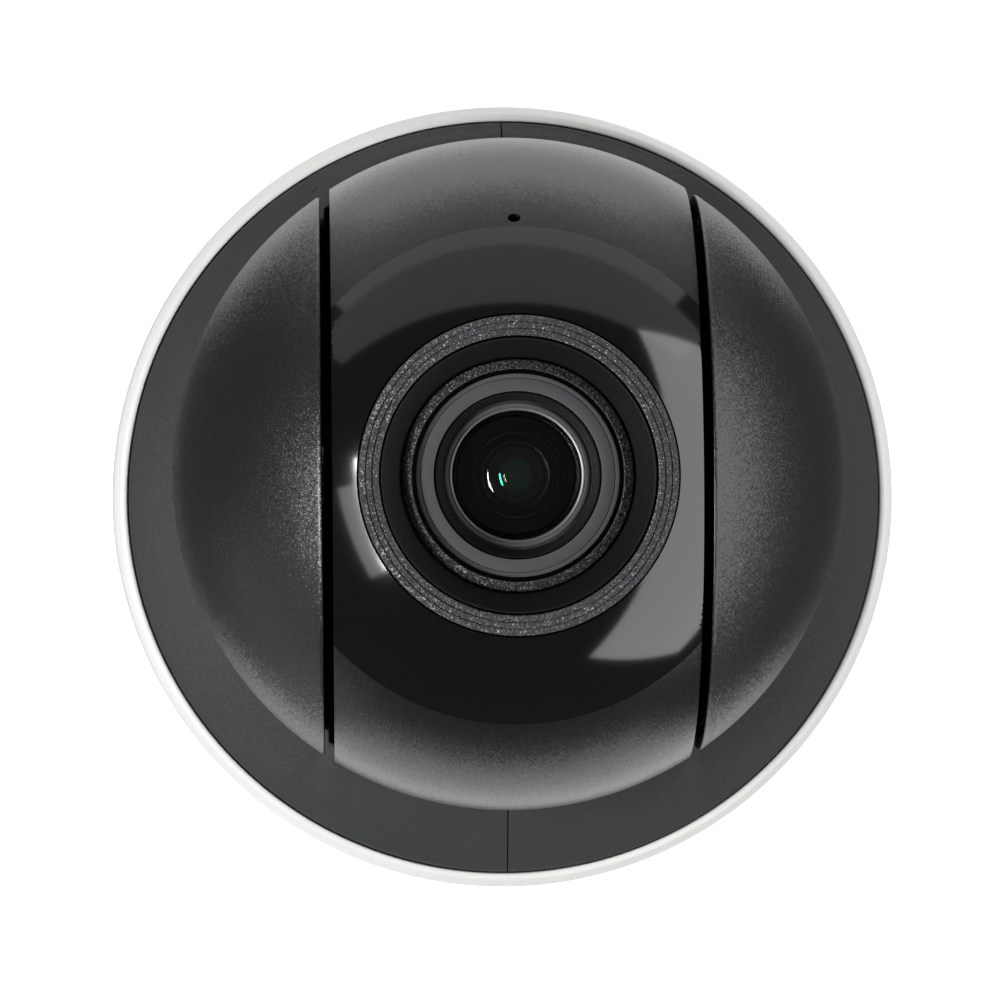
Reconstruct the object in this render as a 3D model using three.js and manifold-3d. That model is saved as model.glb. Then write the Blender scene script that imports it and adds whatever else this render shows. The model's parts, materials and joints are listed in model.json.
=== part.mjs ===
// Mini pan-tilt dome security camera, in millimetres.
// The origin is the centre of the mounting face, +Z is the pan axis and points away from the
// mounting face, and +X is the tilt axis. At rest the lens looks straight along +Z.
import * as THREE from 'three';
import { mergeVertices } from 'three/addons/utils/BufferGeometryUtils.js';
import Module from 'manifold-3d';

const wasm = await Module();
wasm.setup();

// ---------------------------------------------------------------- driving dimensions
const GAP = 0.3; // room left between two pieces that touch
const TILT_AXIS = { y: 4, z: 60 }; // the tilt axis stands a little off the pan axis
const BALL = { radius: 54.4, halfWidth: 28.6, wall: 2.2, edge: 0.7, parting: -8 };
const EAR = { inner: 30.15, wall: 2.2, clearance: 1.3 }; // inner is the half-distance between ears
const SKIRT = { radius: 62.7, edgeZ: 38, wall: 2 };
const RIM = { radius: 65.3, z: 31, bottomZ: 0.8, topZ: 37.2 };
const PLATE = { radius: 56, thickness: 2 };
const TRAY = { radius: 61.8, bottomZ: 2.3, floorZ: 4.3, rimZ: 8 };
const SHELF = { inner: 52.9, bottomZ: 22, topZ: 25.7 };
const TURNTABLE = { radius: 61.4, bottomZ: 31.8, topZ: 34 };
const BEARING = { ballCircle: 57.5, ballRadius: 1.4, bottomZ: 26.2, topZ: 31.4, balls: 8 };
const WINDOW = { radius: 38.7, pocket: 39, innerHole: 24.9 };
const BEZEL = { inner: 21.5, outer: 24.6, topZ: 49.6, bottomZ: 43 };
const BARREL = { inner: 12.4, outer: 15.2, bottomZ: -12, topZ: 38.2 };
const MIC = { y: 40, radius: 1 };

// Gears: the pan pinion walks round a fixed internal ring, the tilt pinion turns an outside gear.
const PAN_PITCH = 100.8; // pitch diameter of the fixed ring
const PAN_GEAR = {
  module: PAN_PITCH / 54, ringTeeth: 54, pinionTeeth: 9, bottomZ: 19.7, topZ: 25.4,
};
const TILT_GEAR = { module: 1, gearTeeth: 24, pinionTeeth: 8, from: 34, to: 37 };
const panCentre = (PAN_GEAR.module * (PAN_GEAR.ringTeeth - PAN_GEAR.pinionTeeth)) / 2;
const tiltCentre = (TILT_GEAR.module * (TILT_GEAR.gearTeeth + TILT_GEAR.pinionTeeth)) / 2;

const ROUND = { large: 36, ball: 32, medium: 16, small: 10, tiny: 6 }; // facets round a turn

// ---------------------------------------------------------------- finishes
const finish = (color, roughness, metalness = 0) =>
  new THREE.MeshStandardMaterial({ color, roughness, metalness });

const whitePaint = finish(0xf0f0ee, 0.45);
const blackShell = finish(0x2b2c2e, 0.5);
const blackPlastic = finish(0x1b1c1e, 0.6);
const blackWindow = finish(0x08080a, 0.08);
const lensCoating = finish(0x10161c, 0.03);
const clearGlass = finish(0xbfd4d8, 0.05);
const satinGrey = finish(0x4a4b4d, 0.35, 0.4);
const brightMetal = finish(0xa9abad, 0.25, 1);
const steel = finish(0x9a9c9e, 0.35, 1);
const aluminium = finish(0xb4b6b8, 0.4, 1);
const zinc = finish(0x8d9093, 0.5, 1);
const whiteAcetal = finish(0xe2e0d8, 0.5);
const blackRubber = finish(0x1a1a1a, 0.9);
const circuitGreen = finish(0x1f5a3a, 0.55);

// ---------------------------------------------------------------- making solids
function signedVolume(positions, triangles) {
  const corner = (i) => new THREE.Vector3().fromArray(positions, 3 * i);
  let volume = 0;
  for (let i = 0; i < triangles.length; i += 3) {
    const [a, b, c] = triangles.slice(i, i + 3).map(corner);
    volume += a.dot(b.cross(c)) / 6;
  }
  return volume;
}

function solid(geometry) {
  geometry.deleteAttribute('normal');
  geometry.deleteAttribute('uv');
  const merged = mergeVertices(geometry, 1e-4);
  const positions = merged.getAttribute('position').array;
  const corners = merged.getIndex().array;
  const triangles = [];
  for (let i = 0; i < corners.length; i += 3) {
    const [a, b, c] = corners.slice(i, i + 3);
    if (a !== b && b !== c && c !== a) {
      triangles.push(a, b, c);
    }
  }
  if (signedVolume(positions, triangles) < 0) {
    triangles.reverse();
  }
  const vertProperties = new Float32Array(positions);
  const triVerts = new Uint32Array(triangles);
  return new wasm.Manifold(new wasm.Mesh({ numProp: 3, vertProperties, triVerts }));
}

// Turns a geometry made about +Z so that its own +Z lies along the named axis, then moves it.
function placed(geometry, axis, at) {
  if (axis === 'x') {
    geometry.rotateY(Math.PI / 2);
  }
  return geometry.translate(...at);
}

// A profile of [radius, height] points turned about an axis. It closes on itself unless both of
// its ends lie on the axis.
function turned(profile, { segments = ROUND.medium, axis = 'z', at = [0, 0, 0] } = {}) {
  const points = profile.map(([radius, height]) => new THREE.Vector2(radius, height));
  const endsOnAxis = profile[0][0] === 0 && profile.at(-1)[0] === 0;
  if (!endsOnAxis) {
    points.push(points[0].clone());
  }
  const geometry = new THREE.LatheGeometry(points, segments);
  geometry.rotateX(Math.PI / 2);
  return solid(placed(geometry, axis, at));
}

function ring(inner, outer, [from, to], options = {}) {
  return turned([[inner, from], [outer, from], [outer, to], [inner, to]], options);
}

function rod(radius, [from, to], options = {}) {
  return turned([[0, from], [radius, from], [radius, to], [0, to]], options);
}

function block([x0, x1], [y0, y1], [z0, z1]) {
  const geometry = new THREE.BoxGeometry(x1 - x0, y1 - y0, z1 - z0);
  return solid(geometry.translate((x0 + x1) / 2, (y0 + y1) / 2, (z0 + z1) / 2));
}

function extruded(shape, [from, to], { axis = 'z', at = [0, 0, 0], segments = ROUND.small } = {}) {
  const settings = { depth: to - from, bevelEnabled: false, curveSegments: segments / 2 };
  const geometry = new THREE.ExtrudeGeometry(shape, settings);
  return solid(placed(geometry.translate(0, 0, from), axis, at));
}

// Points on a sphere's outline between two heights.
function sphereArc(radius, from, to, steps) {
  const first = Math.asin(from / radius);
  const last = Math.asin(to / radius);
  const points = [];
  for (let i = 0; i <= steps; i += 1) {
    const angle = first + ((last - first) * i) / steps;
    points.push([radius * Math.cos(angle), radius * Math.sin(angle)]);
  }
  return points;
}

function sphere(radius, at = [0, 0, 0], { segments = ROUND.ball, steps = 18, axis = 'x' } = {}) {
  const arc = sphereArc(radius, -radius, radius, steps).slice(1, -1);
  return turned([[0, -radius], ...arc, [0, radius]], { segments, axis, at });
}

// A ball with two flat sides across the X axis and an edge broken between flat and round.
function drum(radius, halfWidth, edge = 0) {
  const flat = Math.sqrt(radius ** 2 - halfWidth ** 2) - edge;
  const arc = sphereArc(radius, edge - halfWidth, halfWidth - edge, 8);
  const profile = [[0, -halfWidth], [flat, -halfWidth], ...arc, [flat, halfWidth], [0, halfWidth]];
  const kept = edge > 0 ? profile : [[0, -halfWidth], ...arc, [0, halfWidth]];
  return turned(kept, { segments: ROUND.ball, axis: 'x' });
}

// A gear's outline: straight-sided teeth, with the first tooth's middle at the start angle.
// An internal ring's teeth point inwards, so its tips lie inside its roots.
function gearOutline(teeth, module, { internal = false, start = 0 } = {}) {
  const pitch = (teeth * module) / 2;
  const side = internal ? -1 : 1;
  const tip = pitch + side * 0.68 * module;
  const root = pitch - side * 0.95 * module;
  const halfTip = (0.3 * module) / tip;
  const halfRoot = (0.9 * module) / root;
  const points = [];
  for (let i = 0; i < teeth; i += 1) {
    const middle = start + (i * 2 * Math.PI) / teeth;
    const polar = (radius, angle) =>
      new THREE.Vector2(radius * Math.cos(angle), radius * Math.sin(angle));
    points.push(polar(root, middle - halfRoot));
    points.push(polar(tip, middle - halfTip));
    points.push(polar(tip, middle + halfTip));
    points.push(polar(root, middle + halfRoot));
  }
  return points;
}

function circleHole(radius, x = 0, y = 0) {
  const hole = new THREE.Path();
  hole.absarc(x, y, radius, 0, 2 * Math.PI, true);
  return hole;
}

function circleShape(radius, x = 0, y = 0) {
  const shape = new THREE.Shape();
  shape.absarc(x, y, radius, 0, 2 * Math.PI, false);
  return shape;
}

// Angles spread evenly round the Z axis, and the points at a radius on them.
function spread(count, radius, start = 0) {
  const points = [];
  for (let i = 0; i < count; i += 1) {
    const angle = start + (i * 2 * Math.PI) / count;
    points.push([radius * Math.cos(angle), radius * Math.sin(angle)]);
  }
  return points;
}

function piece(name, body, material) {
  const { vertProperties, triVerts } = body.getMesh();
  const geometry = new THREE.BufferGeometry();
  geometry.setAttribute('position', new THREE.BufferAttribute(vertProperties, 3));
  geometry.setIndex(new THREE.BufferAttribute(triVerts, 1));
  geometry.computeVertexNormals();
  const mesh = new THREE.Mesh(geometry, material);
  mesh.name = name;
  return mesh;
}

const radians = THREE.MathUtils.degToRad;
const GROMMET_AT = [0, -42];
const SERVICE_AT = [0, 46];
const TRAY_SCREWS = spread(3, 57.5, radians(30));

// ---------------------------------------------------------------- base
// The steel plate that is screwed to the ceiling, with three keyholes and a way for the cable.
function mountPlate() {
  let body = rod(PLATE.radius, [0, PLATE.thickness], { segments: ROUND.large });
  for (const [x, y] of spread(3, 38)) {
    const along = Math.atan2(y, x) + Math.PI / 2;
    const slot = circleShape(2.3, x + 7 * Math.cos(along), y + 7 * Math.sin(along));
    const stem = new THREE.Shape();
    for (const [across, reach] of [[-2.3, 0], [2.3, 0], [2.3, 7], [-2.3, 7]]) {
      const px = x + across * Math.sin(along) + reach * Math.cos(along);
      const py = y - across * Math.cos(along) + reach * Math.sin(along);
      stem.lineTo(px, py);
    }
    stem.curves.shift();
    const depth = [-1, PLATE.thickness + 1];
    body = body.subtract(extruded(circleShape(4.6, x, y), depth));
    body = body.subtract(extruded(slot, depth)).subtract(extruded(stem, depth));
  }
  const [gx, gy] = GROMMET_AT;
  body = body.subtract(rod(9.6, [-1, 3], { at: [gx, gy, 0] }));
  const [sx, sy] = SERVICE_AT;
  body = body.subtract(block([sx - 11, sx + 11], [sy - 7.5, sy + 20], [-1, 3]));
  return piece('mount_plate', body, steel);
}

// The tray that closes the base from below and carries the board.
function baseTray() {
  const { radius, bottomZ, floorZ, rimZ } = TRAY;
  let body = rod(radius, [bottomZ, floorZ], { segments: ROUND.large });
  body = body.add(ring(radius - 2, radius, [floorZ - 1, rimZ], { segments: ROUND.large }));
  for (const [x, y] of TRAY_SCREWS) {
    body = body.add(rod(4, [floorZ - 1, rimZ], { at: [x, y, 0], segments: ROUND.small }));
  }
  for (const [x, y] of TRAY_SCREWS) {
    const options = { at: [x, y, 0], segments: ROUND.small };
    body = body.subtract(rod(3, [bottomZ - 1, 5.2], options)).subtract(rod(1.8, [5, 9], options));
  }
  body = body.subtract(rod(8, [1, 6], { at: [...GROMMET_AT, 0] }));
  const [sx, sy] = SERVICE_AT;
  body = body.subtract(block([sx - 8, sx + 8], [sy - 5, sy + 5], [1, 6]));
  return piece('base_tray', body, zinc);
}

// The white upper housing. A shelf inside it carries the ring gear and the pan bearing.
function baseHousing() {
  const wall = 3;
  const inner = RIM.radius - wall;
  const profile = [
    [RIM.radius - 1.7, RIM.bottomZ], [RIM.radius, RIM.z], [RIM.radius - 0.5, 35.4],
    [RIM.radius - 1.5, RIM.topZ], [SKIRT.radius + 0.75, RIM.topZ], [SKIRT.radius + 0.75, 34.4],
    [inner, 33.4],
    [inner, SHELF.topZ], [SHELF.inner, SHELF.topZ], [SHELF.inner, SHELF.bottomZ],
    [inner, SHELF.bottomZ - 3], [inner, 12], [59.6, 12], [59.6, 9.8], [inner, 9.8],
    [inner, RIM.bottomZ],
  ];
  let body = turned(profile, { segments: ROUND.large });
  for (const [x, y] of TRAY_SCREWS) {
    const options = { at: [x, y, 0], segments: ROUND.small };
    const [ox, oy] = [x * 1.06, y * 1.06];
    body = body.add(rod(3.6, [9.8, 23], options));
    body = body.add(rod(3, [9.8, 23], { at: [ox, oy, 0], segments: ROUND.small }));
  }
  for (const [x, y] of TRAY_SCREWS) {
    body = body.subtract(rod(1.7, [9, 16], { at: [x, y, 0], segments: ROUND.small }));
  }
  return piece('base_housing', body, whitePaint);
}

function baseSeals() {
  const gasket = ring(60.1, 61.7, [TRAY.rimZ + GAP, 9.5], { segments: ROUND.large });
  const profile = [
    [4.5, 0.6], [9, 0.6], [9, 2], [7.6, 2], [7.6, 4.6], [9, 4.6], [9, 6.2], [6, 7.4], [4.5, 7.4],
  ];
  const grommet = turned(profile, { at: [...GROMMET_AT, 0] });
  return [piece('base_gasket', gasket, blackRubber), piece('cable_grommet', grommet, blackRubber)];
}

function screw(name, headRadius, shankRadius, [headFrom, headTo, tip], at) {
  const options = { at, segments: ROUND.small };
  const recess = block([at[0] - 0.4, at[0] + 0.4], [at[1] - 1.5, at[1] + 1.5], [
    headFrom - 1, headFrom + 0.8,
  ]);
  const body = rod(headRadius, [headFrom, headTo], options)
    .add(rod(shankRadius, [headTo - 0.5, tip], options))
    .subtract(recess);
  return piece(name, body, steel);
}

// The fixed ring gear is pressed into the shelf, with its teeth pointing inwards.
function panRingGear() {
  const { module, ringTeeth, bottomZ, topZ } = PAN_GEAR;
  const outline = circleShape(SHELF.inner - GAP);
  const teeth = new THREE.Path(gearOutline(ringTeeth, module, { internal: true }));
  outline.holes.push(teeth);
  const body = extruded(outline, [bottomZ, topZ], { segments: ROUND.large });
  return piece('pan_ring_gear', body, whiteAcetal);
}

function racePart(name, side, back, face) {
  const { ballCircle, bottomZ, topZ } = BEARING;
  const middle = (bottomZ + topZ) / 2;
  const track = ballCircle + side * 1.9;
  const profile = [
    [back, bottomZ], [face, bottomZ], [face, middle - 1.8], [track, middle],
    [face, middle + 1.8], [face, topZ], [back, topZ],
  ];
  return piece(name, turned(profile, { segments: ROUND.large }), steel);
}

function bearingCage() {
  const { ballCircle, ballRadius, bottomZ, topZ, balls } = BEARING;
  const middle = (bottomZ + topZ) / 2;
  let body = ring(ballCircle - 0.55, ballCircle + 0.55, [middle - 0.8, middle + 0.8], {
    segments: ROUND.large,
  });
  for (const [x, y] of spread(balls, ballCircle, radians(15))) {
    const options = { segments: 6, steps: 4, axis: 'z' };
    body = body.add(sphere(ballRadius, [x, y, middle], options));
  }
  return piece('bearing_cage', body, brightMetal);
}

// The main board lies round the ball's well, with the parts that stand on it.
function mainBoard() {
  const outline = circleShape(53);
  outline.holes.push(circleHole(30));
  const top = 10.6;
  let body = extruded(outline, [9, top], { segments: 32 });
  const chips = [
    [38, 0, 14, 14, 2], [-36, 18, 12, 9, 2], [-36, -18, 9, 12, 2.4], [32, 34, 10, 8, 4],
    [-24, 38, 8, 8, 7], [28, -32, 10, 8, 4],
  ];
  for (const [x, y, width, depth, height] of chips) {
    const across = [x - width / 2, x + width / 2];
    const along = [y - depth / 2, y + depth / 2];
    body = body.add(block(across, along, [top - 0.5, top + height]));
  }
  const header = block([14.5, 25.5], [-45, -39], [top - 0.5, 16]);
  body = body.add(header.subtract(block([15.5, 24.5], [-44.2, -39.8], [12, 17])));
  const [gx, gy] = GROMMET_AT;
  body = body.subtract(block([gx - 10, gx + 10], [gy - 10, gy + 7.5], [8, 12]));
  return piece('main_board', body, circuitGreen);
}

// The lid over the service opening in the tray, and the reset button behind it.
function serviceParts() {
  const [x, y] = SERVICE_AT;
  const lid = block([x - 7.7, x + 7.7], [y - 4.7, y + 4.7], [TRAY.bottomZ, TRAY.bottomZ + 1]);
  const at = [x + 3, y, 0];
  const button = rod(1.2, [4.2, 6.4], { at, segments: ROUND.small }).add(
    rod(1.9, [6.2, 7.6], { at, segments: ROUND.small }),
  );
  return [piece('service_cover', lid, blackPlastic), piece('reset_button', button, blackPlastic)];
}

// ---------------------------------------------------------------- pan head
const ballCentre = [0, TILT_AXIS.y, TILT_AXIS.z];
const SHELL_SCREW = [35, -35];

function turntable() {
  const { radius, bottomZ, topZ } = TURNTABLE;
  let body = rod(radius, [bottomZ, topZ], { segments: ROUND.large });
  const well = rod(49.3, [bottomZ - 1, topZ + 1], {
    at: [0, TILT_AXIS.y, 0],
    segments: ROUND.ball,
  });
  const across = [-BALL.halfWidth - GAP, BALL.halfWidth + GAP];
  body = body.subtract(well.intersect(block(across, [-60, 60], [bottomZ - 2, topZ + 2])));
  const shaftHole = { at: [-panCentre, 0, 0], segments: ROUND.small };
  body = body.subtract(rod(6.4, [bottomZ - 1, topZ + 1], shaftHole));
  for (const side of [-1, 1]) {
    const options = { at: [side * SHELL_SCREW[0], SHELL_SCREW[1], 0], segments: ROUND.tiny };
    body = body.subtract(rod(1.6, [bottomZ - 1, topZ + 1], options));
  }
  return piece('turntable', body, blackPlastic);
}

// Half of the skirt with its ear: the skirt is a shallow dome round the ball, and the ear is the
// side of a sphere of the ball's own radius.
function halfShell(name, side) {
  const { radius, edgeZ, wall } = SKIRT;
  const rise = [[57.5, 3.4], [52.5, 5.8], [47.5, 7.4]];
  const upper = rise.map(([r, h]) => [r, edgeZ + h]);
  const lower = rise.map(([r, h]) => [r, edgeZ + h - wall]).reverse();
  const profile = [
    [radius - 0.2, edgeZ - 2.8], [radius, edgeZ - 0.5], [radius - 0.5, edgeZ + 0.2], ...upper,
    ...lower, [radius - 2.2, edgeZ - 0.8], [radius - 2.2, edgeZ - 2.8],
  ];
  const seam = GAP / 2;
  const half = side > 0 ? [seam, 70] : [-70, -seam];
  const beside = side > 0 ? [EAR.inner, 70] : [-70, -EAR.inner];
  const within = side > 0 ? [-1, EAR.inner] : [-EAR.inner, 1];
  const skirt = turned(profile, { segments: ROUND.large });
  const ear = sphere(BALL.radius, ballCentre).intersect(block(beside, [-70, 70], [edgeZ + 3, 130]));
  const well = sphere(BALL.radius + EAR.clearance, ballCentre).intersect(
    block(within, [-70, 70], [0, 130]),
  );
  const hollow = sphere(BALL.radius - EAR.wall, ballCentre);
  let body = skirt.subtract(well).add(ear).subtract(hollow);
  const options = { at: [side * SHELL_SCREW[0], SHELL_SCREW[1], 0], segments: ROUND.tiny };
  const boss = rod(2.8, [TURNTABLE.topZ + GAP, 43], options);
  body = body.add(boss).subtract(rod(1.5, [TURNTABLE.topZ, 41], options));
  body = body.intersect(block(half, [-70, 70], [0, 130]));
  return piece(name, body, blackShell);
}

// The cheek that closes an ear towards the ball and carries the tilt bushing.
function yoke(name, side) {
  const [from, to] = [0.3, 2.7].map((offset) => EAR.inner + offset);
  const at = [0, TILT_AXIS.y, TILT_AXIS.z];
  const step = from + 0.9;
  const profile = [[0, from], [41.1, from], [41.1, step], [39.6, step], [39.6, to], [0, to]];
  const heights = side > 0 ? profile : profile.map(([radius, x]) => [radius, -x]);
  const across = (a, b) => (side > 0 ? [a, b] : [-b, -a]);
  const floor = TURNTABLE.topZ + GAP;
  let body = turned(heights, { segments: ROUND.ball, axis: 'x', at });
  body = body.intersect(block(across(from - 1, to + 1), [-60, 60], [floor, 130]));
  for (const y of [TILT_AXIS.y - 18, TILT_AXIS.y + 18]) {
    body = body.add(block(across(from, 38.5), [y - 4, y + 4], [floor, floor + 2]));
  }
  const bore = rod(7.2, across(from - 1, to + 1), { axis: 'x', at });
  return piece(name, body.subtract(bore), blackPlastic);
}

function bushing(name, side) {
  const across = side > 0 ? [30.3, 33.2] : [-33.2, -30.3];
  const body = ring(5.3, 6.9, across, { axis: 'x', at: ballCentre });
  return piece(name, body, brightMetal);
}

function panMotor() {
  const at = [-panCentre, 0, 0];
  let body = rod(5.8, [35.6, 45.6], { at });
  body = body.add(block([-panCentre - 3, -panCentre + 3], [-11, 11], [34.3, 36]));
  body = body.add(rod(1, [20, 36], { at, segments: ROUND.tiny }));
  return piece('pan_motor', body, zinc);
}

function panPinion() {
  const { module, pinionTeeth } = PAN_GEAR;
  const start = Math.PI + Math.PI / pinionTeeth;
  const outline = new THREE.Shape(gearOutline(pinionTeeth, module, { start }));
  const hub = rod(4, [24, 30.5], { segments: ROUND.small });
  const bore = rod(1.3, [15, 35], { segments: ROUND.tiny });
  const body = extruded(outline, [20.3, 25]).add(hub).subtract(bore);
  const mesh = piece('pan_pinion', body, whiteAcetal);
  mesh.position.set(-panCentre, 0, 0);
  return mesh;
}

function tiltMotor() {
  const z = TILT_AXIS.z - tiltCentre;
  const at = [0, TILT_AXIS.y, z];
  const cheek = EAR.inner + 2.7 + GAP;
  let body = rod(9, [38, 45.2], { axis: 'x', at });
  body = body.add(block([37.5, 38.6], [TILT_AXIS.y - 15, TILT_AXIS.y + 15], [z - 7, z]));
  for (const y of [TILT_AXIS.y - 12.8, TILT_AXIS.y + 12.8]) {
    const options = { axis: 'x', at: [0, y, z - 3.5], segments: ROUND.tiny };
    body = body.add(rod(2, [cheek, 38], options));
  }
  body = body.add(rod(1, [cheek + 0.6, 38.5], { axis: 'x', at, segments: ROUND.tiny }));
  return piece('tilt_motor', body, zinc);
}

function tiltPinion() {
  const { module, pinionTeeth, from, to } = TILT_GEAR;
  const start = Math.PI + Math.PI / pinionTeeth;
  const outline = new THREE.Shape(gearOutline(pinionTeeth, module, { start }));
  outline.holes.push(circleHole(1.3));
  const body = extruded(outline, [from, to], { axis: 'x' });
  const mesh = piece('tilt_pinion', body, whiteAcetal);
  mesh.position.set(0, TILT_AXIS.y, TILT_AXIS.z - tiltCentre);
  return mesh;
}

// The head board stands in the left ear and carries the optical switch that finds tilt zero.
function headElectronics() {
  let board = block([-39.2, -37.8], [-14, 20], [64, 82]);
  board = board.add(block([-41, -39], [-9, 3], [68, 76])).add(block([-40.5, -39], [8, 16], [70, 76]));
  const { y } = TILT_AXIS;
  const sensor = block([-37.5, -33.6], [y - 3, y + 3], [71.5, 79]).subtract(
    block([-36.4, -34.4], [y - 4, y + 4], [70, 76.5]),
  );
  return [piece('head_board', board, circuitGreen), piece('home_sensor', sensor, blackPlastic)];
}

// ---------------------------------------------------------------- tilt head, about its ball centre
const ballOuter = drum(BALL.radius, BALL.halfWidth, BALL.edge);
const BALL_SCREWS = [-45, 45];

// The skin between the ball's surface and a smaller sphere, inside a cylinder round the lens axis.
function frontSkin(outer, inner, radius) {
  const column = rod(radius, [25, 60], { segments: ROUND.ball });
  return sphere(outer).subtract(sphere(inner)).intersect(column);
}

function frontShell() {
  const cavity = drum(BALL.radius - BALL.wall, BALL.halfWidth - BALL.wall);
  const ledge = frontSkin(BALL.radius - 1.4, 48.9, 41)
    .subtract(rod(36, [20, 60], { segments: ROUND.ball }))
    .intersect(ballOuter);
  const pocket = rod(WINDOW.pocket, [25, 60], { segments: ROUND.ball }).subtract(sphere(50.9));
  const above = block([-60, 60], [-60, 60], [BALL.parting + GAP / 2, 60]);
  let body = ballOuter.subtract(cavity).add(ledge).subtract(pocket).intersect(above);
  for (const y of BALL_SCREWS) {
    const options = { at: [0, y, 0], segments: ROUND.small };
    const boss = rod(3.6, [BALL.parting + GAP / 2, 0], options)
      .add(block([-2, 2], y > 0 ? [y, 53] : [-53, y], [BALL.parting + GAP / 2, 0]))
      .intersect(ballOuter);
    body = body.add(boss).subtract(rod(1.5, [-10, -1.5], options));
  }
  for (const side of [-1, 1]) {
    const across = side > 0 ? [20, 35] : [-35, -20];
    body = body.subtract(rod(5.3, across, { axis: 'x' }));
  }
  const micHole = new THREE.CylinderGeometry(MIC.radius, MIC.radius, 12, ROUND.tiny);
  const lean = Math.asin(MIC.y / BALL.radius);
  micHole.translate(0, 52, 0).rotateX(Math.PI / 2 - lean);
  return piece('front_shell', body.subtract(solid(micHole)), blackShell);
}

function rearShell() {
  const cavity = drum(BALL.radius - BALL.wall, BALL.halfWidth - BALL.wall);
  const below = block([-60, 60], [-60, 60], [-60, BALL.parting - GAP / 2]);
  let body = ballOuter.subtract(cavity);
  for (const y of BALL_SCREWS) {
    body = body.add(rod(4.6, [-40, 0], { at: [0, y, 0], segments: ROUND.small }).intersect(ballOuter));
  }
  body = body.intersect(below);
  for (const y of BALL_SCREWS) {
    const options = { at: [0, y, 0], segments: ROUND.small };
    body = body.subtract(rod(3, [-50, -14], options)).subtract(rod(1.6, [-15, 0], options));
  }
  return piece('rear_shell', body, blackShell);
}

function frontWindow() {
  const skin = ballOuter.subtract(sphere(BALL.radius - BALL.wall));
  const disc = ring(WINDOW.innerHole, WINDOW.radius, [30, 60], { segments: ROUND.ball });
  return piece('front_window', skin.intersect(disc), blackWindow);
}

function windowSeal() {
  const skin = frontSkin(51.9, 51.2, 38.4).intersect(drum(53, BALL.halfWidth - 0.3));
  const opening = rod(36.3, [20, 60], { segments: ROUND.ball });
  const body = skin.subtract(opening.intersect(block([-26, 26], [-60, 60], [20, 60])));
  return piece('window_seal', body, blackRubber);
}

// The rings of the lens mount, from the ridged bezel inwards.
function lensRings() {
  const { inner, outer, topZ, bottomZ } = BEZEL;
  const band = (outer - inner) / 3;
  const groove = 0.45;
  const ridged = [[inner, bottomZ], [outer, bottomZ], [outer, topZ - 0.6], [outer - 0.3, topZ - 0.1]];
  for (const step of [1, 2]) {
    const middle = outer - step * band;
    ridged.push([middle + 0.15, topZ - 0.05], [middle, topZ - groove], [middle - 0.15, topZ]);
  }
  ridged.push([inner + 0.2, topZ], [inner, topZ - 0.3]);
  const hood = [
    [BEZEL.inner - GAP, 43.6], [BEZEL.inner - GAP, 49.1], [BEZEL.inner - 0.6, 49.1], [18.2, 45],
    [18.2, 39], [19.4, 39], [19.4, 43.6],
  ];
  const collar = [[16.4, 38.6], [17.9, 38.6], [17.9, 45.2], [17.6, 45.5], [16.6, 45.5], [16.4, 45.3]];
  const flat = [
    [13, 39.6], [15.7, 39.6], [15.7, 43.8], [15.5, 44], [13.2, 44], [13, 43.8],
  ];
  const baffle = [
    [11.6, 39.9], [12.7, 39.9], [12.7, 43.6], [12.5, 43.6], [12.5, 42.4], [12.1, 42.4],
    [12.1, 41.1], [11.6, 41.1],
  ];
  const retaining = [
    [10, 38.8], [12, 38.8], [12, 39.5], [11.3, 39.5], [10.55, 39.5], [10.45, 39.3], [10.35, 39.5],
    [10.1, 39.5],
  ];
  return [
    piece('bezel_ring', turned(ridged, { segments: ROUND.ball }), satinGrey),
    piece('lens_hood', turned(hood, { segments: 24 }), blackPlastic),
    piece('barrel_collar', turned(collar, { segments: 24 }), satinGrey),
    piece('lens_ring', turned(flat, { segments: 24 }), satinGrey),
    piece('stepped_baffle', turned(baffle), blackPlastic),
    piece('retaining_ring', turned(retaining), brightMetal),
  ];
}

// A lens with a bulging upper face and a flat or hollow lower one.
function lensElement(name, radius, [from, edge, apex], material) {
  const sag = apex - edge;
  const curve = (radius ** 2 + sag ** 2) / (2 * sag);
  const top = [];
  const steps = 5;
  for (let i = 0; i < steps; i += 1) {
    const r = radius * (1 - i / steps);
    top.push([r, apex - curve + Math.sqrt(curve ** 2 - r ** 2)]);
  }
  return piece(name, turned([[0, from], [radius, from], ...top, [0, apex]]), material);
}

const RODS = [-10.4, 10.4];

function lensBarrel() {
  const { inner, outer, bottomZ, topZ } = BARREL;
  const profile = [
    [6.5, bottomZ], [outer - 1.5, bottomZ], [outer - 1.5, 20], [outer, 22], [outer, topZ],
    [inner, topZ], [inner, 32.2], [9, 32.2], [9, 30.2], [inner, 30.2], [inner, bottomZ + 2],
    [6.5, bottomZ + 2],
  ];
  return piece('lens_barrel', turned(profile, { segments: 24 }), blackPlastic);
}

function guideRods() {
  const names = ['guide_rod_left', 'guide_rod_right'];
  return names.map((name, i) => {
    const options = { at: [RODS[i], 0, 0], segments: ROUND.tiny };
    return piece(name, rod(0.8, [BARREL.bottomZ + 2.3, 29.9], options), steel);
  });
}

// A piece with a clear hole round each guide rod.
function pierced(name, body, material) {
  for (const x of RODS) {
    body = body.subtract(rod(1.15, [-10, 30], { at: [x, 0, 0], segments: ROUND.tiny }));
  }
  return piece(name, body, material);
}

// A lens moulded into its sliding carrier.
function lensGroup(name, glass, [from, to]) {
  const outer = 12;
  const profile = [
    [0, from + 0.5], [glass, from + 0.5], [glass + 0.3, from], [outer, from], [outer, to],
    [glass + 0.3, to], [glass, to - 1.2], [glass * 0.6, to - 0.6], [0, to - 0.3],
  ];
  return pierced(name, turned(profile), clearGlass);
}

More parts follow.
